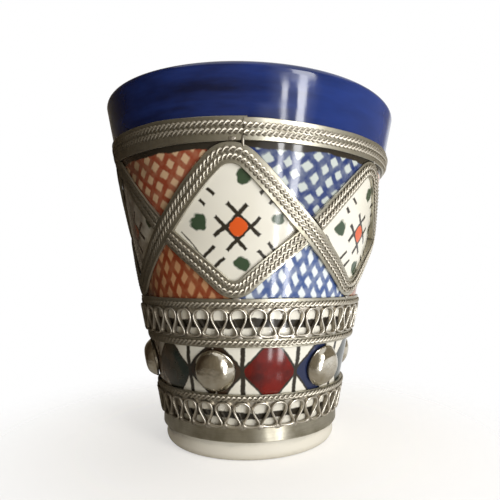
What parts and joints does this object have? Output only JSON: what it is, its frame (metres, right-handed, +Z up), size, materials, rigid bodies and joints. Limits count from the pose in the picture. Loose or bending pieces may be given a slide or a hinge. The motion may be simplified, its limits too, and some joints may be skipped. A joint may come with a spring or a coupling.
{
  "type": "ceramic cup with metal holder",
  "caption": "Tapered hand-painted earthenware cup in a lift-off openwork jacket of soldered nickel-silver straps, twisted wire, scroll galleries and domed bosses.",
  "frame": {"origin": "middle of the foot ring, on the surface the cup stands on", "axes": "+Z up along the axis of the cup; -Y is the front, through the middle of one lozenge of the jacket"},
  "size_m": [0.0854, 0.0854, 0.096],
  "materials": {
    "glazed_earthenware": "glossy hand-painted glaze",
    "nickel_silver_strip": "satin, slightly tarnished nickel silver",
    "twisted_wire": "rubbed bright on the crests, dark between the strands",
    "scroll_ribbon": "satin with bright rubbed edges",
    "polished_boss": "polished, lightly scratched",
    "solder": "bright tin solder"
  },
  "bodies": {
    "holder": {"collar_band": "nickel_silver_strip", "collar_wire_upper": "twisted_wire", "collar_wire_lower": "twisted_wire", "zigzag_strap": "nickel_silver_strip", "zigzag_wire_upper": "twisted_wire", "zigzag_wire_lower": "twisted_wire", "vee_strap_1": "nickel_silver_strip", "vee_strap_2": "nickel_silver_strip", "vee_strap_3": "nickel_silver_strip", "vee_strap_4": "nickel_silver_strip", "vee_strap_5": "nickel_silver_strip", "vee_strap_6": "nickel_silver_strip", "vee_wires_1": "twisted_wire", "vee_wires_2": "twisted_wire", "vee_wires_3": "twisted_wire", "vee_wires_4": "twisted_wire", "vee_wires_5": "twisted_wire", "vee_wires_6": "twisted_wire", "gallery_top_rail": "nickel_silver_strip", "gallery_top_wire": "twisted_wire", "gallery_scroll": "scroll_ribbon", "gallery_bottom_rail": "nickel_silver_strip", "gallery_bottom_wire": "twisted_wire", "boss_1": "polished_boss", "boss_2": "polished_boss", "boss_3": "polished_boss", "boss_4": "polished_boss", "boss_5": "polished_boss", "boss_6": "polished_boss", "boss_beads": "solder", "base_rail": "nickel_silver_strip", "base_wire": "twisted_wire", "base_scroll": "scroll_ribbon", "base_skirt": "nickel_silver_strip"},
    "cup": {"ceramic_cup": "glazed_earthenware"}
  },
  "joints": [
    {"name": "cup_lift", "type": "slide", "parent": "holder", "child": "cup", "axis": [0, 0, 1], "range_m": [0, 0.084]}
  ]
}
